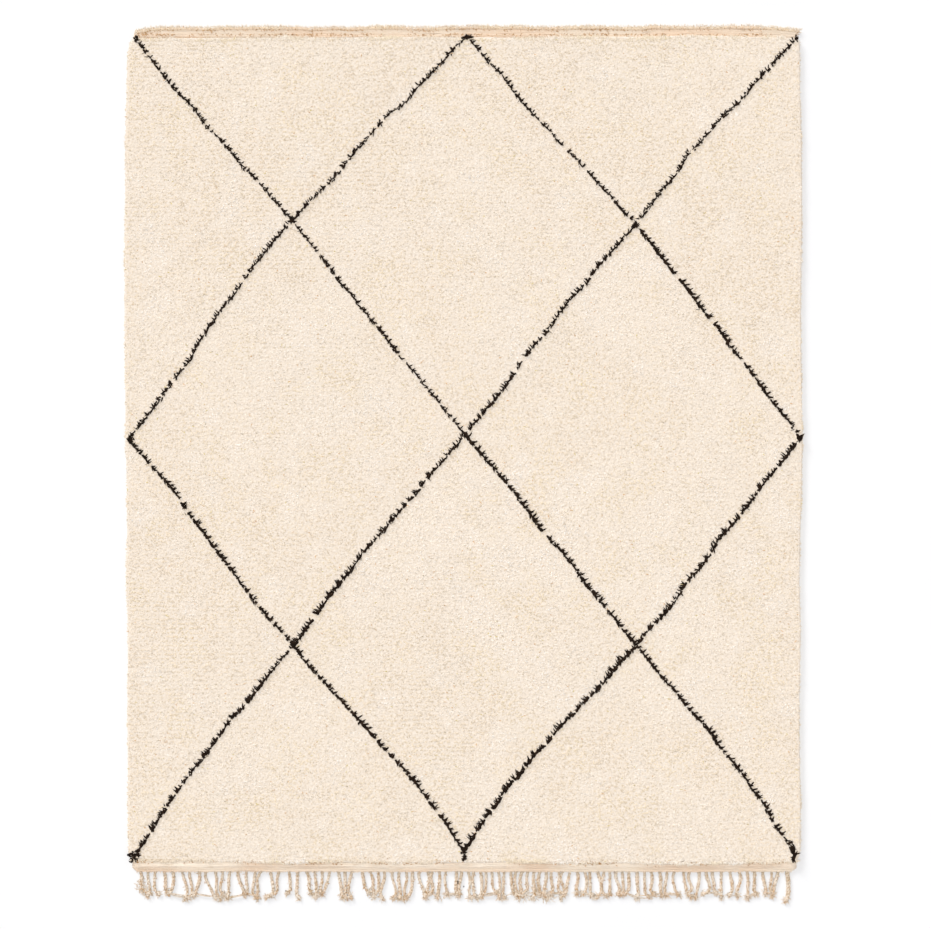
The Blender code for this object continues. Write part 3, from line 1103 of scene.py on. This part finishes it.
def fringe_cords(material):
    """Each cord is two plies wound round each other, flattened a little on the floor."""
    rng = np.random.default_rng(29)
    parts = []
    for line in STRAND_LINES:
        run = np.concatenate([[0], np.cumsum(np.linalg.norm(np.diff(line, axis=0), axis=1))])
        start, size = rng.uniform(0, 2 * math.pi), rng.uniform(0.88, 1.12)
        if line is STRAND_LINES[-1]:
            size = LAST_CORD_SIZE
        uneven = np.interp(run, np.linspace(0, 0.13, 12), rng.normal(1, 0.12, 12))
        thick = size * uneven * (0.80 + 0.20 * np.clip(run / 0.02, 0, 1))
        for ply in (0, math.pi):
            turn = start + ply + 2 * math.pi * run / CORD_TWIST
            middle = line + np.stack([0.0029 * np.cos(turn), 0 * turn, 0.0013 * np.sin(turn)], 1) * size
            parts.append(tube(middle, 0.0073 * thick, 0.0052 * thick, sides=7))
    points, faces = join(parts)
    points[:, 2] = np.maximum(points[:, 2], 0.0003)
    return mesh_piece("fringe_cords", points, faces, [material])


def fringe_ties(material):
    """Yarn that ties the tips of a group together: hanks that sag from one cord to the next, and
    a turn or two of yarn round every tip."""
    rng = np.random.default_rng(37)
    parts = []
    share = np.linspace(0, 1, 9)
    for one, other, strand, following in zip(STRAND_LINES, STRAND_LINES[1:], STRANDS, STRANDS[1:]):
        untied = UNTIED_IN_GROUP if strand.group == following.group else UNTIED_TO_NEXT
        if rng.random() < untied:
            continue
        for _ in range(rng.integers(2, 5)):
            start = one[-1] + rng.normal(0, 0.0022, 3) + (-0.003, 0.007, 0)
            end = other[-1] + rng.normal(0, 0.0022, 3) + (0.003, 0.007, 0)
            line = start + (end - start) * share[:, None]
            line[:, 1] -= rng.uniform(-0.002, 0.005) * np.sin(math.pi * share)
            line[:, 2] = 0.0040 + rng.uniform(0, 0.0030) * np.sin(math.pi * share)
            parts.append(tube(line, rng.uniform(0.0026, 0.0044), 0.0028, sides=5))
    angle = np.linspace(0, 2 * math.pi, 13)
    for line in STRAND_LINES:
        centre = line[-1] + (rng.normal(0, 0.0008), 0.009 + rng.normal(0, 0.003), 0)
        for _ in range(rng.integers(1, 3)):
            slant = rng.normal(0, 0.5)
            across = 0.0062 * np.cos(angle)
            along = slant * across + rng.normal(0, 0.002)
            turn = np.stack([across, along, 0.0036 * np.sin(angle)], 1)
            parts.append(tube(centre + turn, 0.0036, 0.0026, sides=5))
    points, faces = join(parts)
    points[:, 2] = np.maximum(points[:, 2], 0.0003)
    return mesh_piece("fringe_ties", points, faces, [material])


def fringe_frays(material):
    """Untwisted ends at the tips, which spread out and tangle with the next cord's, and a few
    tangles further up."""
    rng = np.random.default_rng(43)
    roots, heading = [], []
    for x, y, wide, high, ends in FRINGE_TANGLES:
        for _ in range(ends):
            across, along = x + rng.normal(0, 0.5) * wide, y + rng.normal(0, 0.5) * high
            roots.append((across, along, rng.uniform(0.003, 0.007)))
            heading.append(rng.uniform(0, 2 * math.pi))
    for line in STRAND_LINES:
        for _ in range(rng.integers(16, 36)):
            across, along = rng.normal(0, 0.0032), rng.uniform(-0.001, 0.014)
            roots.append(line[-1] + (across, along, rng.uniform(-0.002, 0.0015)))
            heading.append(-math.pi / 2 + rng.normal(0, 0.85))
    count = len(roots)
    reach, rise = rng.uniform(0.008, 0.019, count), rng.uniform(0.0005, 0.0022, count)
    tip, width = rng.uniform(-0.004, 0.001, count), rng.uniform(0.0016, 0.0030, count)
    points, faces = yarn_ends(
        np.array(roots), np.array(heading), reach, rise, tip, width, rings=2, curl=rng.normal(0, 0.004, count)
    )
    points[:, 2] = np.maximum(points[:, 2], 0.0004)
    points[:, 1] = np.maximum(points[:, 1], CAD_BOX[0][1] - 0.006)
    return mesh_piece("fringe_frays", points, faces, [material])


def along_cords(rng, count):
    """Places on the cords, most of them near the tips."""
    line = np.array(STRAND_LINES)[rng.integers(0, len(STRAND_LINES), count)]
    step = (CORD_POINTS * rng.random(count) ** 0.55).astype(int)
    aside = rng.normal(0, 0.0025, count)
    return line[np.arange(count), step] + np.stack([aside, 0 * step, 0.0030 + 0 * step], 1)


def black_hairs(material):
    """Snips of dark yarn caught among the cords of the fringe."""
    across, along, heading, width = np.array(DARK_SNIPS).T
    roots = np.stack([across, along, 0.009 + 0 * across], 1)
    points, faces = yarn_ends(roots, heading, 0.007, 0.001, -0.001, width, rings=2)
    return mesh_piece("black_hairs", points, faces, [material])


# ---------------------------------------------------------------- the studio


def lamp(name, floor_share, azimuth, elevation, softness):
    """A broad lamp as wide as its softness in degrees. It gives that share of the floor's light."""
    light = bpy.data.lights.new(name, "SUN")
    light.energy = floor_share * math.pi / math.sin(math.radians(elevation))
    light.angle = math.radians(softness)
    light.color = linear("#FFFEFC")[:3]
    holder = bpy.data.objects.new(name, light)
    round_to, up = math.radians(azimuth), math.radians(elevation)
    source = Vector((math.cos(round_to) * math.cos(up), math.sin(round_to) * math.cos(up), math.sin(up)))
    holder.rotation_euler = source.to_track_quat("Z", "Y").to_euler()
    bpy.context.scene.collection.objects.link(holder)


def studio():
    """A pale floor, an even pale sky, a broad lamp overhead and a low one on the upper left."""
    bpy.ops.mesh.primitive_plane_add(size=40, location=(0, 0, -0.0002))
    floor = bpy.context.object
    floor.name = "floor"
    floor.data.materials.append(rolled_emulsion())

    world = bpy.data.worlds.new("pale_studio")
    world.use_nodes = True
    world.node_tree.nodes["Background"].inputs["Color"].default_value = linear("#FAFBFF")
    world.node_tree.nodes["Background"].inputs["Strength"].default_value = 0.45
    bpy.context.scene.world = world
    lamp("overhead_lamp", 0.54, 123, 88, 9)
    lamp("low_lamp", 0.20, 123, 21, 18)

    camera = bpy.data.cameras.new("camera")
    camera.lens = 110
    camera.sensor_width = 36
    camera.clip_end = 60
    holder = bpy.data.objects.new("camera", camera)
    holder.location = (*VIEW_MIDDLE, VIEW_WIDTH * camera.lens / camera.sensor_width)
    bpy.context.scene.collection.objects.link(holder)
    bpy.context.scene.camera = holder
    bpy.context.scene.view_settings.view_transform = "Standard"


# ---------------------------------------------------------------- putting it together


def main():
    """Makes every piece from its materials, and says what each rides on."""
    studio()
    ivory, dark = ivory_pile_wool(), dark_pile_wool()
    woven, hem, warp = flat_woven_wool(), rolled_hem_wool(), twisted_warp_wool()
    brown_hair = fleck_wool("brown_hair_wool", "#CDA67A", "#A57B4E")
    flecks = {
        "grey_flecks": fleck_wool("grey_fleck_wool", "#CDBFA9", "#B5A78F"),
        "tan_flecks": fleck_wool("tan_fleck_wool", "#DDB78D", "#C79C6E"),
        "straw_flecks": fleck_wool("straw_fleck_wool", "#DCCC95", "#C9B46C"),
    }

    cloth = ground_weave(woven, back_of_knots_wool())
    up, down = math.pi / 2, -math.pi / 2
    in_slots = {
        "ivory_wool_pile": [pile_bed(packed_pile_wool()), *pile_pieces(ivory, flecks)],
        "dark_wool_pile": [dark_lattice(dark), black_hairs(dark)],
        "woven_wool": [
            weft_yarns(woven),
            head_hem(hem),
            loose_hair("hem_fuzz", ivory, 3600, along_hem, up, 0.75, (4, 10), (1.4, 3.0), 19),
            loose_hair("hem_brown_hair", brown_hair, 420, along_hem, up, 1.3, (3, 9), (1.0, 2.0), 20),
            loose_hair("seam_brown_hair", brown_hair, 760, along_seam, 0.0, 0.7, (4, 10), (1.8, 3.4), 21),
            loose_hair("foot_brown_hair", brown_hair, 400, first_knots, up, 0.8, (5, 11), (2.4, 3.8), 24),
            loose_hair("foot_fuzz", woven, 2200, along_foot, down, 0.9, (3, 8), (1.2, 2.6), 22),
        ],
        "warp_wool": [
            fringe_ties(warp),
            fringe_frays(warp),
            loose_hair("cord_brown_hair", brown_hair, 1500, along_cords, down, 0.7, (5, 12), (1.4, 2.6), 25),
        ],
    }
    cords = fringe_cords(warp)
    for slot_name, pieces in [*in_slots.items(), ("woven_wool", [cloth]), ("warp_wool", [cords])]:
        for piece in pieces:
            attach(piece, "root")
    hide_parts("rug_cloth")
    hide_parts("fringe")


main()
